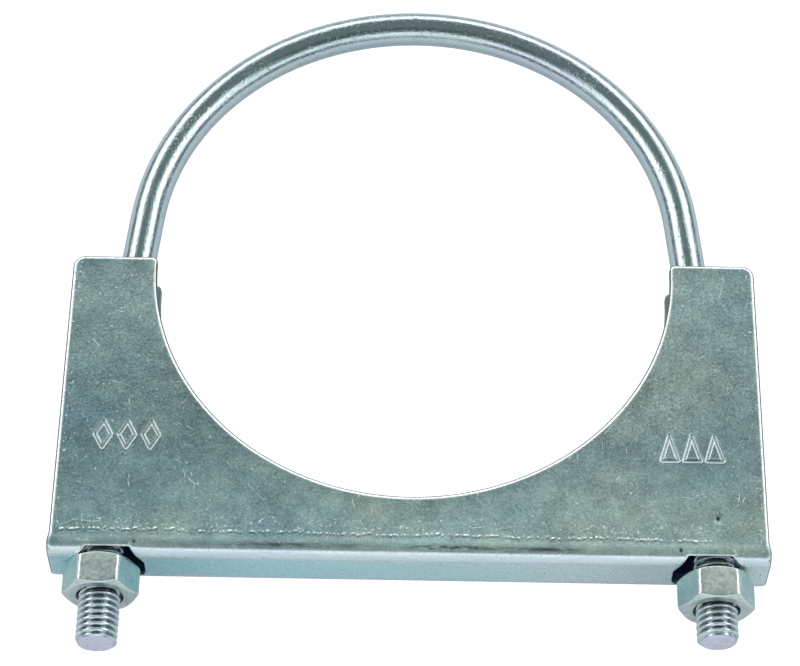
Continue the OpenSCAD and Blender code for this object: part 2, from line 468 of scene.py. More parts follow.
    # finer points where the plate has marks and nicks
    nick = rows(0.16, plate_s(np.arange(-60.0, -58.2, 0.14)), False)
    front = front[np.abs(front[:, 1] - plate_s(-59.1)) > 1.2]
    fine = [nick]
    for cx, cy, w, h in ((-54.4, -38.6, 7.2, 3.9), (53.9, -39.7, 7.2, 3.7)):
        gx, gy = np.meshgrid(np.arange(cx - w, cx + w, 0.16), plate_s(np.arange(cy - h, cy + h, 0.16)))
        g = np.stack([gx.ravel(), gy.ravel()], 1)
        fine.append(g)
        front = front[~((np.abs(front[:, 0] - cx) < w + 0.3) & (np.abs(front[:, 1] - plate_s(cy)) < h + 0.3))]
    for cx in (-HOLE_X - 4.1, -HOLE_X + 4.1, HOLE_X - 4.1, HOLE_X + 4.1):
        gx, gy = np.meshgrid(np.arange(cx - 1.7, cx + 1.7, 0.13), plate_s(np.arange(FRONT_EDGE + 0.02, FRONT_EDGE + 1.5, 0.13)))
        g = np.stack([gx.ravel(), gy.ravel()], 1)
        fine.append(g)
        for k, lst in enumerate((mid, front)):
            keep = ~((np.abs(lst[:, 0] - cx) < 1.8) & (lst[:, 1] > plate_s(FRONT_EDGE) - 0.1) & (lst[:, 1] < plate_s(FRONT_EDGE + 1.6)))
            if k == 0:
                mid = lst[keep]
            else:
                front = lst[keep]
    for px, py, r, dep in PITS:
        a = np.concatenate([[[px, plate_s(py)]]] + [arc_pts(px, plate_s(py), rr, 0, 2 * math.pi, 0.14)[:-1] for rr in (0.15, 0.3, 0.45, 0.65)])
        far = ((front - np.array([px, plate_s(py)])) ** 2).sum(1) > 0.8 ** 2
        front = front[far]
        for k, g in enumerate(fine):
            fine[k] = g[((g - np.array([px, plate_s(py)])) ** 2).sum(1) > 0.72 ** 2]
        fine.append(a)
    fill(rim_out, 0.0, np.concatenate([coarse, mid, front] + fine), True)
    inner = np.concatenate([rows(1.6, np.concatenate([-s_lo[::-1][::2], -bend[::-1][::2], web[1:-1], bend[::2], s_lo[::2]]))])
    fill(rim_in, SHEET, inner, False)
    v = np.concatenate(verts)
    ob = new_mesh("saddle_sheet", v, faces, {"wear_and_sheen": np.concatenate(wear_and_sheen), "darkening": np.concatenate(darkening)})
    return ob


# ================================================================ threads
def thread_r(phase, major, depth):
    """Radius of a rolled 60 degree thread: phase 0 is the middle of the crest, 0.5 the middle of the root."""
    u = np.abs((np.asarray(phase) + 0.5) % 1.0 - 0.5)
    crest, root = 0.085, 0.38
    k = np.clip((u - crest) / (root - crest), 0, 1)
    flank = k + 0.05 * np.sin(k * 2 * np.pi) * -1.0
    return major - depth * flank


def leg_rows(end, steps=24):
    """Axial places, from the leg's neck to past its end: the first, the step and the count."""
    a0 = -STRAIGHT_Y + 0.15
    da = PITCH / steps
    n = int((end - a0) / da) + 19
    return a0, da, n


def thread_leg(end, chamfer, seg, steps=24, phase0=0.0):
    """A threaded leg in its own frame: (radius, axial) for each row and column of a helical grid, which keeps the crest's edge crisp."""
    a0, da, n = leg_rows(end, steps)
    i, j = np.meshgrid(np.arange(n + 1), np.arange(seg), indexing="ij")
    a = a0 + i * da + PITCH * j / seg
    depth = 0.70 * smooth(a0 + PITCH + 0.4, a0 + PITCH + 1.9, a)
    crest = ROD_R + (THR_R - ROD_R) * smooth(a0 + PITCH + 0.1, a0 + PITCH + 1.5, a)
    r = thread_r((i * da) / PITCH + phase0, crest, depth)
    edge = THR_R - chamfer
    top = end - chamfer * 0.95
    cone = np.where(a > top, THR_R - (a - top) * chamfer / (chamfer * 0.95), 99.0)
    r = np.minimum(r, cone)
    over = np.maximum(0, a - end)
    r = np.where(a > end, edge - over * 1.25, r)
    dome = np.where(a > end, 0.10 * (1 - np.exp(-over / 0.12)), 0)
    ax = np.minimum(a, end) - 0.10 + dome
    ax = np.where(a > end - 0.10, ax, a)
    return r, ax, n


def build_bolt():
    seg = 72
    verts, faces, cropped, root_shades, crest_highlights = [], [], [], [], []
    base = 0

    def add(v, s, t, u=0.0):
        nonlocal base
        verts.append(v)
        crest_highlights.append(np.broadcast_to(u, (len(v),)).copy())
        cropped.append(np.broadcast_to(s, (len(v),)).copy())
        root_shades.append(np.broadcast_to(t, (len(v),)).copy())
        base += len(v)
        return base - len(v)

    th = np.arange(seg) * 2 * math.pi / seg
    # The plain rod: from the right leg's neck over the ring to the left leg's neck
    centre, tangent = [], []
    bend = np.linspace(0, SHORT, 40)
    for b in bend:
        centre.append((LEG_X - LEG_R + LEG_R * math.cos(b), STRAIGHT_Y + LEG_R * math.sin(b)))
        tangent.append((-math.sin(b), math.cos(b)))
    for b in np.linspace(SHORT, math.pi - SHORT, 300)[1:-1]:
        centre.append((RING_R * math.cos(b), RING_LIFT + RING_R * math.sin(b)))
        tangent.append((-math.sin(b), math.cos(b)))
    for b in bend[::-1]:
        centre.append((-(LEG_X - LEG_R + LEG_R * math.cos(b)), STRAIGHT_Y + LEG_R * math.sin(b)))
        tangent.append((-math.sin(b), -math.cos(b)))
    centre, tangent = np.array(centre), np.array(tangent)
    run = np.concatenate([[0], np.cumsum(np.linalg.norm(np.diff(centre, axis=0), axis=1))])
    starts = []
    for (cx, cy), (tx, ty), s in zip(centre, tangent, run):
        ox, oy = ty, -tx        # away from the ring's centre
        # a drawn rod is not quite even: hair-thin flats and lines along it
        wob = 1 - 0.0016 * (0.5 + 0.5 * np.sin(3 * th + 0.02 * s) * np.sin(0.045 * s + th)) - 0.0008 * (1 + np.sin(7 * th + 0.4 * np.sin(0.03 * s)))
        r = (ROD_R - 0.021) * wob
        starts.append(add(np.stack([cx + ox * r * np.cos(th), cy + oy * r * np.cos(th), r * np.sin(th)], 1), 0.0, 0.0))
    for a, b in zip(starts[:-1], starts[1:]):
        for i in range(seg):
            j = (i + 1) % seg
            faces.append((a + i, a + j, b + j, b + i))
    steps = 24
    for side, end, chamfer, ph, ring in ((1, RIGHT_END, 0.8, 0.15, starts[0]), (-1, LEFT_END, 0.65, 0.55, starts[-1])):
        r, ax, n = thread_leg(end, chamfer, seg, steps, ph)
        # columns follow a right-hand helix round -Y, starting outwards on +X
        grid = np.zeros((n + 1, seg), int)
        x = side * LEG_X + r * np.cos(th)[None]
        z = r * np.sin(th)[None]
        pts = np.stack([x, -ax, z], -1)
        flat_end = (r < THR_R - chamfer + 0.02) & (ax > end - 0.16)
        # masks for the painted shade in the thread roots and the painted highlight on the crests
        root_shade = smooth(3.62, 3.34, r) * (ax < end - 0.9)
        crest_highlight = smooth(3.72, 3.90, r) * (ax > -STRAIGHT_Y + 3.0)
        first = add(pts.reshape(-1, 3), flat_end.astype(float).ravel(), root_shade.ravel(), crest_highlight.ravel())
        grid = first + np.arange((n + 1) * seg).reshape(n + 1, seg)
        # the plain rod's ring has the same columns on +X, and on -X they start outwards, on -X, and run the other way
        if side > 0:
            col = [ring + k for k in range(seg)]
        else:
            col = [ring + (seg // 2 - k) % seg for k in range(seg)]
        for j in range(seg - 1):
            faces.append((col[j], grid[0, j], grid[0, j + 1], col[j + 1]))
            for i in range(n):
                faces.append((grid[i, j], grid[i + 1, j], grid[i + 1, j + 1], grid[i, j + 1]))
        for i in range(n - steps):
            faces.append((grid[i, seg - 1], grid[i + 1, seg - 1], grid[i + steps + 1, 0], grid[i + steps, 0]))
        apex = grid[0, seg - 1]
        for i in range(steps):
            faces.append((apex, grid[i + 1, 0], grid[i, 0]))
        faces.append((col[seg - 1], apex, grid[0, 0], col[0]))
        for i in range(n - steps, n):
            faces.append((grid[n, 0], grid[i, seg - 1], grid[i + 1, seg - 1]))
        c = add(np.array([[side * LEG_X, -float(ax.max()), 0.0]]), 1.0, 0.0)
        for j in range(seg):
            faces.append((grid[n, j], c, grid[n, (j + 1) % seg]))
    v = np.concatenate(verts)
    # the two legs' end faces are plain steel seen end on
    ob = new_mesh("u_bolt_rod", v, faces, {"cropped": np.concatenate(cropped), "root": np.concatenate(root_shades), "crest": np.concatenate(crest_highlights)})
    return ob


# ================================================================ nuts
def hex_outline(s, rho, per_flat, per_corner):
    """A hexagon with rounded corners and flats facing +-Z, as (x, z) points."""
    pts = []
    for k in range(6):
        ac = math.radians(60 * k)                 # corners on the X axis, flats parallel to the saddle's plates
        cc = (s / math.cos(math.radians(30)) / 2 - rho / math.cos(math.radians(30)))
        c = np.array([cc * math.cos(ac), cc * math.sin(ac)])
        corner = [c + rho * np.array([math.cos(t), math.sin(t)]) for t in np.linspace(ac - math.radians(30), ac + math.radians(30), per_corner)]
        an = math.radians(60 * (k + 1))
        cn = np.array([cc * math.cos(an), cc * math.sin(an)])
        nxt = cn + rho * np.array([math.cos(an - math.radians(30)), math.sin(an - math.radians(30))])
        flat = [corner[-1] + (nxt - corner[-1]) * t for t in np.linspace(0, 1, per_flat + 2)[1:-1]]
        pts += corner + flat
    return np.array(pts)


def build_nut(name, side, phase0, seed):
    out = hex_outline(12.9, 1.1, 13, 9)
    n = len(out)
    ang = np.arctan2(out[:, 1], out[:, 0])
    rad = np.linalg.norm(out, axis=1)
    unit = out / rad[:, None]
    top = NUT_TOP[name]
    tan = math.tan(math.radians(30))
    fr = 6.12
    rows, wear_and_sheen, flank, bore = [], [], [], []
    # corner marks the rounded hex corners for a painted highlight, partly their wear
    corner = smooth(0.13, 0.04, rad.max() - rad)

    def row(r, a, w=0.0, b=0.0):
        bore.append(np.full(n, b))
        r, a = np.broadcast_to(r, (n,)), np.broadcast_to(a, (n,))
        wear_and_sheen.append(np.maximum(np.broadcast_to(w, (n,)), corner * (r > rad - 0.1)))
        flank.append(smooth(0.02, 0.0, rad - r))
        rows.append(np.stack([side * LEG_X + unit[:, 0] * r, -(top + a), unit[:, 1] * r], 1))

    def half(sgn):
        """Rows of one end, from the countersink out to the flats, a measured from that end's face."""
        res = []
        for r in (4.52, 4.60, 4.70, 5.1, 5.6, fr - 0.10, fr - 0.03):
            res.append((np.full(n, r), np.full(n, 0.0 if 4.65 < r < fr - 0.05 else (0.075 if r < 4.55 else (0.018 if r < 4.65 else 0.006)))))
        res.append((np.full(n, fr + 0.05), np.full(n, 0.03)))
        ac = np.maximum(0.0, (rad - fr)) * tan
        for q in (0.35, 0.7):
            rr = fr + 0.05 + (rad - 0.14 - fr - 0.05) * q
            res.append((rr, (rr - fr) * tan))
        rr = rad - 0.14
        res.append((rr, np.maximum(0.03, (rr - fr) * tan)))
        res.append((rad - 0.045, ac - 0.005))
        res.append((rad - 0.008, ac + 0.05))
        res.append((rad, ac + 0.15))
        return res

    up = half(1)
    # painted highlight along the chamfer's outer edge, round the end face's edge and round the countersink's rim,
    # partly their wear
    row_sheen = [0.0] * len(up)
    row_sheen[-2] = row_sheen[-3] = row_sheen[-4] = 0.9
    row_sheen[5] = row_sheen[6] = row_sheen[7] = 0.35
    row_sheen[0] = row_sheen[1] = 0.6
    for (r, a), w in zip(up, row_sheen):
        row(r, a, w)
    mid_a = up[-1][1]
    for q in np.linspace(0, 1, 9)[1:-1]:
        row(rad, mid_a + (NUT_H - 2 * mid_a) * q)
    for (r, a), w in zip(up[::-1], row_sheen[::-1]):
        row(r, NUT_H - a, w)
    # the tapped bore, in mesh with the leg's thread, with a countersink at each end; its rows carry the painted shade
    a0 = -STRAIGHT_Y + 0.15
    da = PITCH / 20
    cut = np.arange(NUT_H - 0.02, 0.0, -da)
    for a in cut:
        y = top + a
        ph = (y - a0) / PITCH - (ang % (2 * math.pi)) / (2 * math.pi) + phase0
        r = np.maximum(thread_r(ph, THR_R, 0.70) + 0.085, 3.36)
        sink = 4.52 - 0.8 * (min(a, NUT_H - a))
        row(np.maximum(r, sink), a, 0.0, 1.0)
    v = np.concatenate(rows)
    m = len(rows)
    faces = []
    for k in range(m):
        l = (k + 1) % m
        for i in range(n):
            j = (i + 1) % n
            faces.append((k * n + i, l * n + i, l * n + j, k * n + j))
    r2 = np.random.default_rng(seed)
    ob = new_mesh(name + "_hex", v, faces, {"wear_and_sheen": np.concatenate(wear_and_sheen), "flank": np.concatenate(flank), "bore": np.concatenate(bore)})
    return ob


# ================================================================ materials
def node(nt, kind, **sets):
    n = nt.nodes.new(kind)
    for k, v in sets.items():
        if hasattr(n, k):
            setattr(n, k, v)
    return n


def math_node(nt, op, a, b=None, clamp=False):
    n = nt.nodes.new("ShaderNodeMath")
    n.operation = op
    n.use_clamp = clamp
    for k, v in enumerate((a, b)):
        if v is None:
            continue
        if isinstance(v, (int, float)):
            n.inputs[k].default_value = v
        else:
            nt.links.new(v, n.inputs[k])
    return n.outputs[0]


def ramp(nt, fac, stops, interp="LINEAR"):
    n = nt.nodes.new("ShaderNodeValToRGB")
    n.color_ramp.interpolation = interp
    el = n.color_ramp.elements
    while len(el) > 1:
        el.remove(el[0])
    el[0].position, el[0].color = stops[0][0], stops[0][1]
    for p, c in stops[1:]:
        e = el.new(p)
        e.color = c
    nt.links.new(fac, n.inputs[0])
    return n.outputs[0]


def grey(v):
    return (v, v, v, 1.0)


def noise(nt, vec, scale, detail=2.0, rough=0.5, distortion=0.0):
    n = nt.nodes.new("ShaderNodeTexNoise")
    n.inputs["Scale"].default_value = scale
    n.inputs["Detail"].default_value = detail
    n.inputs["Roughness"].default_value = rough
    n.inputs["Distortion"].default_value = distortion
    nt.links.new(vec, n.inputs["Vector"])
    return n.outputs["Fac"]


def mapped(nt, vec, scale=(1, 1, 1), rot=(0, 0, 0), loc=(0, 0, 0)):
    n = nt.nodes.new("ShaderNodeMapping")
    n.inputs["Scale"].default_value = scale
    n.inputs["Rotation"].default_value = rot
    n.inputs["Location"].default_value = loc
    nt.links.new(vec, n.inputs["Vector"])
    return n.outputs["Vector"]


def mix(nt, fac, a, b):
    n = nt.nodes.new("ShaderNodeMix")
    n.data_type = "RGBA"
    for sock, v in ((n.inputs["Factor"], fac), (n.inputs["A"], a), (n.inputs["B"], b)):
        if isinstance(v, (int, float)):
            sock.default_value = v
        elif isinstance(v, tuple):
            sock.default_value = v
        else:
            nt.links.new(v, sock)
    return n.outputs["Result"]


def span(nt, v, lo, hi, a=0.0, b=1.0):
    n = nt.nodes.new("ShaderNodeMapRange")
    n.clamp = True
    n.interpolation_type = "SMOOTHSTEP"
    nt.links.new(v, n.inputs["Value"])
    n.inputs["From Min"].default_value = lo
    n.inputs["From Max"].default_value = hi
    n.inputs["To Min"].default_value = a
    n.inputs["To Max"].default_value = b
    return n.outputs["Result"]


def start(name):
    m = bpy.data.materials.new(name)
    m.use_nodes = True
    nt = m.node_tree
    bsdf = nt.nodes["Principled BSDF"]
    bsdf.inputs["Metallic"].default_value = 1.0
    tc = nt.nodes.new("ShaderNodeTexCoord")
    return m, nt, bsdf, tc.outputs["Object"]


def scratches(nt, obj, angle, seed, scale=3000, aspect=9, lo=0.745, hi=0.81):
    """Thin straight streaks in one direction, most of the surface left clear."""
    v = mapped(nt, mapped(nt, obj, rot=(0, 0, angle)), (scale / aspect, scale, scale / aspect), loc=(seed * 7.37, seed * 3.11, seed * 0.71))
    n = noise(nt, v, 1.0, 1.0, 0.4, 0.25)
    where = noise(nt, mapped(nt, obj, (90, 90, 90), (0, 0, 0), (seed * 3.1, seed * 0.5, 0)), 1.0, 1.0)
    return math_node(nt, "MULTIPLY", span(nt, n, lo, hi), span(nt, where, 0.54, 0.64))


# Handling scratches on the front plate: start, end, half width, all in mm
HAIRLINES = [((-63.6, -57.1), (-58.0, -57.4), 0.10), ((-53.3, -47.2), (-53.1, -50.3), 0.10), ((-42.2, -47.6), (-40.6, -49.3), 0.11), ((-41.7, -46.6), (-41.2, -47.5), 0.10),
             ((-10.9, -52.0), (-10.4, -54.0), 0.11), ((11.6, -57.6), (13.9, -57.5), 0.10), ((16.2, -57.9), (17.4, -57.8), 0.12), ((-28.5, -57.0), (-27.2, -56.0), 0.10),
             ((36.4, -37.5), (44.8, -29.5), 0.06), ((43.0, -27.0), (50.5, -22.0), 0.05), ((52.5, -22.0), (60.5, -16.5), 0.05), ((-60.2, -12.0), (-56.0, -9.5), 0.06),
             ((-58.5, -26.5), (-52.5, -28.6), 0.05), ((-62.5, -17.3), (-61.3, -19.5), 0.12), ((62.2, -52.2), (62.6, -49.4), 0.11), ((63.1, -51.5), (63.4, -49.9), 0.08),
             ((39.0, -47.2), (39.9, -46.1), 0.13), ((-46.0, -33.4), (-43.3, -30.8), 0.06), ((-30.8, -49.0), (-27.5, -52.3), 0.05), ((24.0, -50.5), (28.5, -48.0), 0.05),
             ((-65.4, -40.0), (-64.4, -38.2), 0.12), ((53.8, -58.0), (56.6, -57.4), 0.06), ((60.1, -6.2), (61.0, -4.1), 0.10), ((-49.5, -17.2), (-47.6, -14.9), 0.05)]


def hairline(nt, X, Y, wobble, p, q, w):
    """A short straight scratch as a mask, a little crooked and broken."""
    (x0, y0), (x1, y1) = p, q
    ln = math.hypot(x1 - x0, y1 - y0)
    c, sn = (x1 - x0) / ln, (y1 - y0) / ln
    dx, dy = math_node(nt, "SUBTRACT", X, x0 * MM), math_node(nt, "SUBTRACT", Y, y0 * MM)
    u = math_node(nt, "ADD", math_node(nt, "MULTIPLY", dx, c), math_node(nt, "MULTIPLY", dy, sn))
    v = math_node(nt, "SUBTRACT", math_node(nt, "MULTIPLY", dy, c), math_node(nt, "MULTIPLY", dx, sn))
    v = math_node(nt, "ABSOLUTE", math_node(nt, "ADD", v, wobble))
    return mul(nt, span(nt, u, 0.0, 0.3 * MM), span(nt, u, ln * MM, (ln - 0.3) * MM), span(nt, v, w * MM, 0.4 * w * MM))


def attribute(nt, name):
    n = nt.nodes.new("ShaderNodeAttribute")
    n.attribute_name = name
    return n.outputs["Fac"]


def tinted(nt, a, b):
    n = nt.nodes.new("ShaderNodeMix")
    n.data_type = "RGBA"
    n.blend_type = "MULTIPLY"
    n.inputs["Factor"].default_value = 1.0
    nt.links.new(a, n.inputs["A"])
    nt.links.new(b, n.inputs["B"])
    return n.outputs["Result"]


def bumped(nt, bsdf, height, strength, distance=0.00012):
    bump = nt.nodes.new("ShaderNodeBump")
    bump.inputs["Strength"].default_value = strength
    bump.inputs["Distance"].default_value = distance
    nt.links.new(height, bump.inputs["Height"])
    nt.links.new(bump.outputs[0], bsdf.inputs["Normal"])


def mul(nt, *v):
    out = v[0]
    for x in v[1:]:
        out = math_node(nt, "MULTIPLY", out, x)
    return out


def zinc_sheet():
    m, nt, bsdf, obj = start("zinc_sheet")
    xyz = nt.nodes.new("ShaderNodeSeparateXYZ")
    nt.links.new(obj, xyz.inputs[0])
    X, Y, Z = xyz.outputs
    big = noise(nt, mapped(nt, obj, loc=(0.013, 0.02, 0)), 26, 3.0, 0.55)
    warm = noise(nt, mapped(nt, obj, loc=(0.2, 0.1, 0.4)), 55, 3.0, 0.6)
    midn = noise(nt, mapped(nt, obj, loc=(3.1, 0, 0)), 210, 4.0, 0.65)
    fine = noise(nt, obj, 1700, 3.0, 0.7)
    col = ramp(nt, big, [(0.34, (0.315, 0.445, 0.462, 1)), (0.5, (0.370, 0.500, 0.49, 1)), (0.66, (0.425, 0.535, 0.50, 1))])
    col = tinted(nt, col, ramp(nt, warm, [(0.38, (0.94, 0.98, 1.03, 1)), (0.55, (1.0, 1.0, 1.0, 1)), (0.72, (1.10, 1.03, 0.92, 1))]))
    col = tinted(nt, col, ramp(nt, midn, [(0.32, (0.80, 0.81, 0.84, 1)), (0.55, (1.0, 1.0, 1.0, 1)), (0.74, (1.12, 1.12, 1.09, 1))]))
    grit = noise(nt, mapped(nt, obj, loc=(2, 9, 5)), 2700, 2.0, 0.7)
    grainy = ramp(nt, grit, [(0.28, (0.60, 0.62, 0.64, 1)), (0.5, (1.0, 1.0, 1.0, 1)), (0.70, (1.42, 1.40, 1.38, 1))])
    col = tinted(nt, col, mix(nt, span(nt, Y, -0.050, -0.030, 0.50, 1.0), (1.0, 1.0, 1.0, 1), grainy))
    col = tinted(nt, col, ramp(nt, fine, [(0.30, (0.90, 0.90, 0.91, 1)), (0.5, (1.0, 1.0, 1.0, 1)), (0.70, (1.11, 1.10, 1.09, 1))]))
    # the plate's colour is darker at about Y -40 mm, lighter towards the fold and a little lighter towards the ears'
    # edge, and darker at its -X end
    col = tinted(nt, col, ramp(nt, math_node(nt, "MULTIPLY", Y, -10.0), [(0.0, (1.08, 1.08, 1.07, 1)), (0.20, (1.0, 1.0, 1.0, 1)), (0.40, (0.94, 0.96, 0.97, 1)), (0.50, (1.17, 1.17, 1.15, 1)), (0.60, (1.36, 1.36, 1.33, 1))]))
    col = tinted(nt, col, ramp(nt, span(nt, X, -0.062, 0.062), [(0.0, (0.97, 0.98, 0.99, 1)), (0.5, (1.13, 1.12, 1.12, 1)), (1.0, (1.10, 1.08, 1.07, 1))]))
    # the die polishes the outside of the folds to a pale strip
    front = span(nt, Z, 0.00346, 0.00356)
    low = span(nt, Y, -0.06205, -0.06240)
    strip = math_node(nt, "MULTIPLY", front, low)
    back = math_node(nt, "MULTIPLY", span(nt, Z, -0.00346, -0.00356), low)
    both = math_node(nt, "ADD", strip, back, True)
    over = mul(nt, span(nt, Y, -0.0598, -0.0606), span(nt, Y, -0.06240, -0.06205), span(nt, math_node(nt, "ABSOLUTE", Z), 0.0040, 0.0045))
    col = mix(nt, math_node(nt, "MULTIPLY", over, 0.12), col, (0.98, 0.99, 0.94, 1))
    streak = noise(nt, mapped(nt, obj, (70, 900, 900)), 1.0, 3.0, 0.6)
    col = mix(nt, math_node(nt, "MULTIPLY", both, 0.95), col, ramp(nt, streak, [(0.3, (0.78, 0.88, 0.92, 1)), (0.65, (0.92, 0.98, 1.0, 1))]))
    # the web's outside is painted bluer and much lighter than the plates, lightest towards +X: partly its film's own
    # tint, partly a painted reflection of the bright floor
    web = mul(nt, span(nt, Y, -0.0633, -0.0635), span(nt, math_node(nt, "ABSOLUTE", Z), 0.00356, 0.00346))
    web_tint_and_reflection = ramp(nt, noise(nt, mapped(nt, obj, (30, 30, 90)), 1.0, 3.0), [(0.35, (0.52, 0.83, 0.88, 1)), (0.65, (0.62, 0.90, 0.93, 1))])
    web_tint_and_reflection = mix(nt, span(nt, X, -0.060, -0.020), web_tint_and_reflection, ramp(nt, span(nt, X, -0.030, 0.055), [(0.0, (0.70, 1.0, 1.0, 1)), (1.0, (0.90, 1.0, 0.98, 1))]))
    col = mix(nt, web, col, web_tint_and_reflection)
    # a drag line of grime just over the front fold
    wob = noise(nt, mapped(nt, obj, (45, 1, 1)), 1.0, 3.0)
    yy = math_node(nt, "ADD", Y, math_node(nt, "MULTIPLY", math_node(nt, "SUBTRACT", wob, 0.5), 0.0010))
    g1 = mul(nt, span(nt, yy, -0.06225, -0.06185), span(nt, yy, -0.06115, -0.06155))
    gritty = span(nt, noise(nt, mapped(nt, obj, (420, 2200, 2200)), 1.0, 4.0, 0.7), 0.42, 0.54)
    place = span(nt, noise(nt, mapped(nt, obj, (26, 1, 1), (0, 0, 0), (0.62, 0, 0)), 1.0, 2.0), 0.42, 0.60)
    grime = mul(nt, g1, gritty, place, front, span(nt, X, -0.052, -0.036), span(nt, X, 0.040, 0.022))
    col = mix(nt, math_node(nt, "MULTIPLY", grime, 0.9), col, (0.10, 0.085, 0.07, 1))
    # scratches and specks
    sc = None
    for k, (ang, sd) in enumerate(((0.9, 1.0), (2.2, 5.0), (1.55, 9.0), (0.15, 13.0), (2.75, 17.0), (0.55, 23.0))):
        one = scratches(nt, obj, ang, sd)
        sc = one if sc is None else math_node(nt, "MAXIMUM", sc, one)
    # chips gather along the row of nicks and down the sides
    row = mul(nt, span(nt, Y, -0.0545, -0.0570), span(nt, Y, -0.0588, -0.0580))
    sides = span(nt, math_node(nt, "ABSOLUTE", X), 0.0645, 0.0668)
    crowd = math_node(nt, "ADD", math_node(nt, "MULTIPLY", row, 0.06), math_node(nt, "MULTIPLY", sides, 0.06))
    wobble = math_node(nt, "MULTIPLY", math_node(nt, "SUBTRACT", noise(nt, mapped(nt, obj, loc=(6, 6, 2)), 260, 1.0), 0.5), 0.0011)
    broken = span(nt, noise(nt, mapped(nt, obj, loc=(3, 2, 8)), 900, 2.0), 0.36, 0.50)
    drawn = None
    for hp, hq, hw in HAIRLINES:
        one = hairline(nt, X, Y, wobble, hp, hq, hw)
        drawn = one if drawn is None else math_node(nt, "MAXIMUM", drawn, one)
    drawn = mul(nt, drawn, broken, span(nt, Z, 0.0055, 0.0060))
    speck = span(nt, math_node(nt, "ADD", noise(nt, mapped(nt, obj, loc=(7, 3, 1)), 1500, 2.0, 0.6), crowd), 0.69, 0.74)
    dark = span(nt, noise(nt, mapped(nt, obj, loc=(1, 8, 4)), 1300, 1.0, 0.4), 0.75, 0.80)
    bright = math_node(nt, "MAXIMUM", math_node(nt, "MULTIPLY", sc, 0.8), math_node(nt, "MAXIMUM", speck, drawn))
    plate = span(nt, Y, -0.0620, -0.0612)
    bright = math_node(nt, "MULTIPLY", bright, plate)
    col = mix(nt, math_node(nt, "MULTIPLY", bright, 0.9), col, (1.0, 1.0, 1.0, 1))
    col = mix(nt, math_node(nt, "MULTIPLY", dark, 0.5), col, (0.16, 0.17, 0.16, 1))
    # painted highlight on the top rims of the cut edges, on the nicks and on the burrs, with the burnished lips of the
    # marks
    wear_and_sheen = attribute(nt, "wear_and_sheen")
    ragged = span(nt, noise(nt, mapped(nt, obj, loc=(5, 5, 5)), 1500, 3.0, 0.7), 0.30, 0.55, 0.55, 1.0)
    col = mix(nt, math_node(nt, "MULTIPLY", wear_and_sheen, ragged), col, (1.0, 1.0, 0.99, 1))
    # the cut walls, the holes' walls and the pits are darkened
    darkening = attribute(nt, "darkening")
    col = mix(nt, math_node(nt, "MULTIPLY", darkening, 0.92), col, (0.05, 0.06, 0.055, 1))
    # painted shade: the channel's inside is painted darker, and towards the leg holes it is painted navy as a painted
    # reflection
    inside = mul(nt, span(nt, math_node(nt, "ABSOLUTE", Z), 0.00485, 0.00465), span(nt, Y, -0.0628, -0.0622))
    deep = span(nt, Y, -0.050, -0.058)
    hole_reflection = mul(nt, deep, span(nt, math_node(nt, "ABSOLUTE", X), 0.0455, 0.0495))
    col = mix(nt, inside, col, mix(nt, hole_reflection, (0.26, 0.33, 0.32, 1), (0.07, 0.11, 0.25, 1)))
    nt.links.new(col, bsdf.inputs["Base Color"])
    r = math_node(nt, "ADD", span(nt, fine, 0.3, 0.7, 0.34, 0.46), math_node(nt, "MULTIPLY", span(nt, midn, 0.35, 0.7), 0.05))
    r = math_node(nt, "SUBTRACT", r, math_node(nt, "MULTIPLY", wear_and_sheen, 0.16), True)
    r = math_node(nt, "SUBTRACT", r, math_node(nt, "MULTIPLY", math_node(nt, "MAXIMUM", both, web), 0.14), True)
    r = math_node(nt, "ADD", r, math_node(nt, "MULTIPLY", math_node(nt, "MAXIMUM", bright, over), 0.14), True)
    nt.links.new(r, bsdf.inputs["Roughness"])
    hgt = math_node(nt, "ADD", math_node(nt, "MULTIPLY", fine, 0.6), math_node(nt, "MULTIPLY", noise(nt, obj, 420, 2.0), 0.9))
    hgt = math_node(nt, "ADD", hgt, math_node(nt, "MULTIPLY", bright, 0.6))
    bumped(nt, bsdf, hgt, 0.32)
    return m


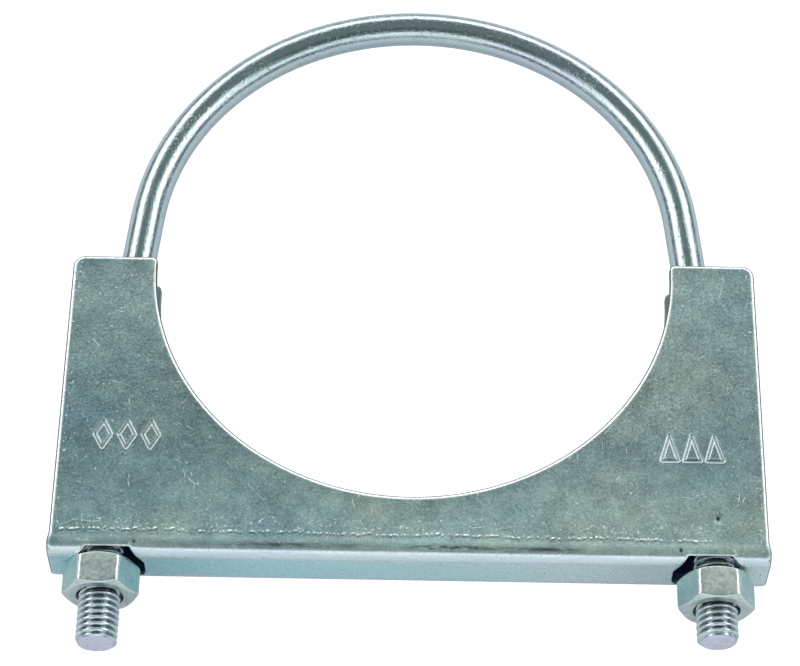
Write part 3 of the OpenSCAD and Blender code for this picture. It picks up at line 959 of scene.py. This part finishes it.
def zinc_rod():
    m, nt, bsdf, obj = start("zinc_rod")
    xyz = nt.nodes.new("ShaderNodeSeparateXYZ")
    nt.links.new(obj, xyz.inputs[0])
    X, Y, Z = xyz.outputs
    # on the ring the grain follows the arc; on the legs it follows Y
    yr = math_node(nt, "SUBTRACT", Y, RING_LIFT * MM)
    up = math_node(nt, "MAXIMUM", yr, 0.0)
    rad = math_node(nt, "SQRT", math_node(nt, "ADD", math_node(nt, "MULTIPLY", X, X), math_node(nt, "MULTIPLY", up, up)))
    ang = math_node(nt, "ADD", math_node(nt, "MULTIPLY", math_node(nt, "ARCTAN2", up, X), 0.0545), math_node(nt, "MINIMUM", yr, 0.0))
    comb = nt.nodes.new("ShaderNodeCombineXYZ")
    nt.links.new(ang, comb.inputs[0])
    nt.links.new(rad, comb.inputs[1])
    nt.links.new(Z, comb.inputs[2])
    grain = comb.outputs[0]
    lines = noise(nt, mapped(nt, grain, (60, 1800, 1800)), 1.0, 4.0, 0.6)
    mott = noise(nt, mapped(nt, grain, (260, 700, 700), (0, 0, 0), (2, 5, 1)), 1.0, 4.0, 0.65)
    big = noise(nt, mapped(nt, grain, (25, 60, 60)), 1.0, 2.0)
    col = ramp(nt, big, [(0.3, (0.65, 0.76, 0.79, 1)), (0.55, (0.70, 0.79, 0.80, 1)), (0.75, (0.73, 0.76, 0.85, 1))])
    pit = span(nt, noise(nt, mapped(nt, grain, (900, 1600, 1600), (0, 0, 0), (9, 2, 6)), 1.0, 2.0), 0.67, 0.73)
    col = mix(nt, math_node(nt, "MULTIPLY", pit, 0.7), col, (0.22, 0.23, 0.22, 1))
    # the cropped ends are duller, with a lilac film
    ends = math_node(nt, "MULTIPLY", attribute(nt, "cropped"), 1.0)
    endc = ramp(nt, noise(nt, obj, 700, 3.0), [(0.35, (0.80, 0.79, 0.90, 1)), (0.7, (0.94, 0.92, 1.0, 1))])
    col = mix(nt, ends, col, endc)
    # painted highlight on the thread crests, painted shade in the thread roots
    root = attribute(nt, "root")
    col = mix(nt, math_node(nt, "MULTIPLY", root, 0.62), col, (0.06, 0.08, 0.11, 1))
    crest = attribute(nt, "crest")
    col = mix(nt, math_node(nt, "MULTIPLY", crest, 0.85), col, (0.97, 0.98, 1.0, 1))
    nt.links.new(col, bsdf.inputs["Base Color"])
    r = math_node(nt, "ADD", span(nt, mott, 0.3, 0.7, 0.04, 0.11), math_node(nt, "MULTIPLY", pit, 0.25), True)
    r = math_node(nt, "ADD", r, math_node(nt, "MULTIPLY", ends, 0.22), True)
    frost = noise(nt, mapped(nt, grain, (1500, 2100, 2100), (0, 0, 0), (11, 3, 2)), 1.0, 3.0, 0.7)
    patch = noise(nt, mapped(nt, grain, (90, 200, 200), (0, 0, 0), (1, 13, 2)), 1.0, 2.0)
    r = math_node(nt, "ADD", r, mul(nt, span(nt, frost, 0.50, 0.64), span(nt, patch, 0.38, 0.60, 0.15, 1.0), span(nt, root, 0.9, 0.0), 0.34), True)
    nt.links.new(r, bsdf.inputs["Roughness"])
    rag = noise(nt, mapped(nt, grain, (1500, 2600, 2600), (0, 0, 0), (4, 1, 7)), 1.0, 3.0, 0.6)
    hgt = math_node(nt, "ADD", math_node(nt, "MULTIPLY", lines, 0.5), math_node(nt, "MULTIPLY", mott, 0.7))
    hgt = math_node(nt, "ADD", hgt, math_node(nt, "MULTIPLY", rag, 0.9))
    bumped(nt, bsdf, hgt, 0.42)
    return m


def zinc_nut(name, seed):
    m, nt, bsdf, obj = start(name)
    o2 = mapped(nt, obj, (1, 1, 1), (0, 0, 0), (seed, seed * 0.3, 0))
    big = noise(nt, o2, 230, 3.0, 0.6)
    fine = noise(nt, o2, 1500, 4.0, 0.7)
    xyz = nt.nodes.new("ShaderNodeSeparateXYZ")
    nt.links.new(obj, xyz.inputs[0])
    Z = xyz.outputs[2]
    col = ramp(nt, big, [(0.34, (0.64, 0.75, 0.74, 1)), (0.52, (0.78, 0.86, 0.81, 1)), (0.70, (0.92, 0.96, 0.89, 1))])
    col = tinted(nt, col, ramp(nt, fine, [(0.30, (0.86, 0.87, 0.88, 1)), (0.5, (1.0, 1.0, 1.0, 1)), (0.70, (1.12, 1.11, 1.10, 1))]))
    # painted shade: the flats facing up and down are painted darker and bluer than the other flats
    side = mul(nt, span(nt, math_node(nt, "ABSOLUTE", Z), 0.0063, 0.0060), attribute(nt, "flank"))
    col = tinted(nt, col, mix(nt, side, (1.0, 1.0, 1.0, 1), (0.76, 0.92, 0.94, 1)))
    speck = span(nt, noise(nt, mapped(nt, o2, loc=(4, 4, 4)), 1000, 3.0, 0.6), 0.61, 0.68)
    col = mix(nt, math_node(nt, "MULTIPLY", speck, 0.6), col, (0.93, 0.95, 0.93, 1))
    # painted highlight on the nut's edges and corners, partly their wear
    wear_and_sheen = attribute(nt, "wear_and_sheen")
    col = mix(nt, math_node(nt, "MULTIPLY", wear_and_sheen, span(nt, fine, 0.35, 0.6, 0.5, 1.0)), col, (1.0, 1.0, 1.0, 1))
    # painted shade: the tapped bore and its countersinks are painted near black
    bore = attribute(nt, "bore")
    col = mix(nt, math_node(nt, "MULTIPLY", bore, 0.85), col, (0.05, 0.06, 0.07, 1))
    nt.links.new(col, bsdf.inputs["Base Color"])
    r = math_node(nt, "SUBTRACT", span(nt, fine, 0.3, 0.7, 0.32, 0.46), math_node(nt, "MULTIPLY", wear_and_sheen, 0.10), True)
    nt.links.new(r, bsdf.inputs["Roughness"])
    hgt = math_node(nt, "ADD", math_node(nt, "MULTIPLY", fine, 0.6), math_node(nt, "MULTIPLY", big, 1.6))
    bumped(nt, bsdf, hgt, 0.30)
    return m


# ================================================================ the pieces
saddle = build_saddle()
saddle.data.materials.append(zinc_sheet())
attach(saddle, "saddle")
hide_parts("saddle")

bolt = build_bolt()
bolt.data.materials.append(zinc_rod())
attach(bolt, "u_bolt")
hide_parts("u_bolt")

for nut_name, side, ph, seed in (("nut_left", -1, 0.55, 3), ("nut_right", 1, 0.15, 11)):
    nut = build_nut(nut_name, side, ph, seed)
    nut.data.materials.append(zinc_nut("zinc_" + nut_name, seed * 0.7))
    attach(nut, nut_name)
    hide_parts(nut_name)

# ================================================================ floor, light and camera
floor_me = bpy.data.meshes.new("floor")
fz = -H * MM
floor_me.from_pydata([(-4, -4, fz), (4, -4, fz), (4, 4, fz), (-4, 4, fz)], [], [(0, 1, 2, 3)])
floor = bpy.data.objects.new("floor", floor_me)
bpy.context.scene.collection.objects.link(floor)
fm = bpy.data.materials.new("pale_floor")
fm.use_nodes = True
fnt = fm.node_tree
fb = fnt.nodes["Principled BSDF"]
fb.inputs["Base Color"].default_value = (0.90, 0.92, 0.98, 1)
fb.inputs["Roughness"].default_value = 0.95
fb.inputs["Specular IOR Level"].default_value = 0.0
# the floor is lit from below like a light table, so it stays pale under the clamp
glow = fnt.nodes.new("ShaderNodeEmission")
glow.inputs["Color"].default_value = (1, 1, 1, 1)
lp = fnt.nodes.new("ShaderNodeLightPath")
seen = math_node(fnt, "MULTIPLY", lp.outputs["Is Camera Ray"], 0.85)
mirrored = math_node(fnt, "MULTIPLY", lp.outputs["Is Glossy Ray"], 0.075)
fnt.links.new(math_node(fnt, "ADD", seen, mirrored), glow.inputs["Strength"])
both = fnt.nodes.new("ShaderNodeAddShader")
fnt.links.new(fb.outputs[0], both.inputs[0])
fnt.links.new(glow.outputs[0], both.inputs[1])
fnt.links.new(both.outputs[0], fnt.nodes["Material Output"].inputs["Surface"])
floor_me.materials.append(fm)


def studio():
    """A white tent: a dark opening overhead, a bright band round it, dimmer towards the horizon."""
    w = bpy.data.worlds.new("studio")
    bpy.context.scene.world = w
    w.use_nodes = True
    nt = w.node_tree
    bg = nt.nodes["Background"]
    tc = nt.nodes.new("ShaderNodeTexCoord")
    xyz = nt.nodes.new("ShaderNodeSeparateXYZ")
    nt.links.new(tc.outputs["Generated"], xyz.inputs[0])
    X, Y, Z = xyz.outputs
    ang = math_node(nt, "DIVIDE", math_node(nt, "ARCCOSINE", Z), math.pi)    # 0 overhead, 0.5 at the horizon

    def deg(d):
        return d / 180.0

    def g(v, t=0.0):
        return (v * 0.5 * (1 - t), v * 0.5, v * 0.5 * (1 + 0.6 * t), 1.0)

    def o(v):
        return (v * 0.5 * 0.80, v * 0.5, v * 0.5 * 1.02, 1.0)

    rear = ramp(nt, ang, [(0, o(0.19)), (deg(40), o(0.20)), (deg(46), g(1.7)), (deg(56), g(1.9)), (deg(64), g(1.7)), (deg(70), g(0.38, 0.08)), (deg(84), g(0.34, 0.08)), (deg(91), g(0.5, 0.08)), (1, g(0.5))])
    front = ramp(nt, ang, [(0, o(0.19)), (deg(22), o(0.19)), (deg(27), o(0.10)), (deg(36), o(0.10)), (deg(41), o(0.15)), (deg(50), o(0.18)),
                           (deg(60), g(1.0, 0.06)), (deg(70), g(1.2, 0.06)), (deg(76), g(0.70, 0.08)), (deg(82), g(0.65, 0.08)), (deg(90), g(1.0, 0.05)), (1, g(0.9))])
    side = span(nt, Y, -0.45, 0.05)
    col = mix(nt, side, front, rear)
    low = mul(nt, span(nt, math_node(nt, "ABSOLUTE", X), 0.25, 0.55), span(nt, Z, 0.27, 0.20), span(nt, Z, -0.03, 0.0))
    col = mix(nt, math_node(nt, "MULTIPLY", low, 0.85), col, (0.03, 0.045, 0.06, 1))
    n = nt.nodes.new("ShaderNodeMix")
    n.data_type = "RGBA"
    n.blend_type = "MULTIPLY"
    n.inputs["Factor"].default_value = 1.0
    nt.links.new(col, n.inputs["A"])
    n.inputs["B"].default_value = (0.97, 1.0, 1.0, 1)
    nt.links.new(n.outputs["Result"], bg.inputs["Color"])
    bg.inputs["Strength"].default_value = 2.0


studio()
scene = bpy.context.scene
scene.view_settings.view_transform = "Standard"
scene.view_settings.look = "None"

cam_data = bpy.data.cameras.new("camera")
cam = bpy.data.objects.new("camera", cam_data)
scene.collection.objects.link(cam)
cam_data.sensor_width = 36.0
cam_data.lens = 123.136
cam_data.clip_start, cam_data.clip_end = 0.01, 20
R = Matrix(((0.99985054, 0.01672360, 0.00438348), (-0.01656904, 0.85454277, 0.51911667), (0.00493563, -0.51911171, 0.85469215)))
cam.matrix_world = Matrix.Translation(Vector((0.225653, -293.582018, 465.193254)) * MM) @ R.transposed().to_4x4()
scene.camera = cam

bpy.context.view_layer.update()
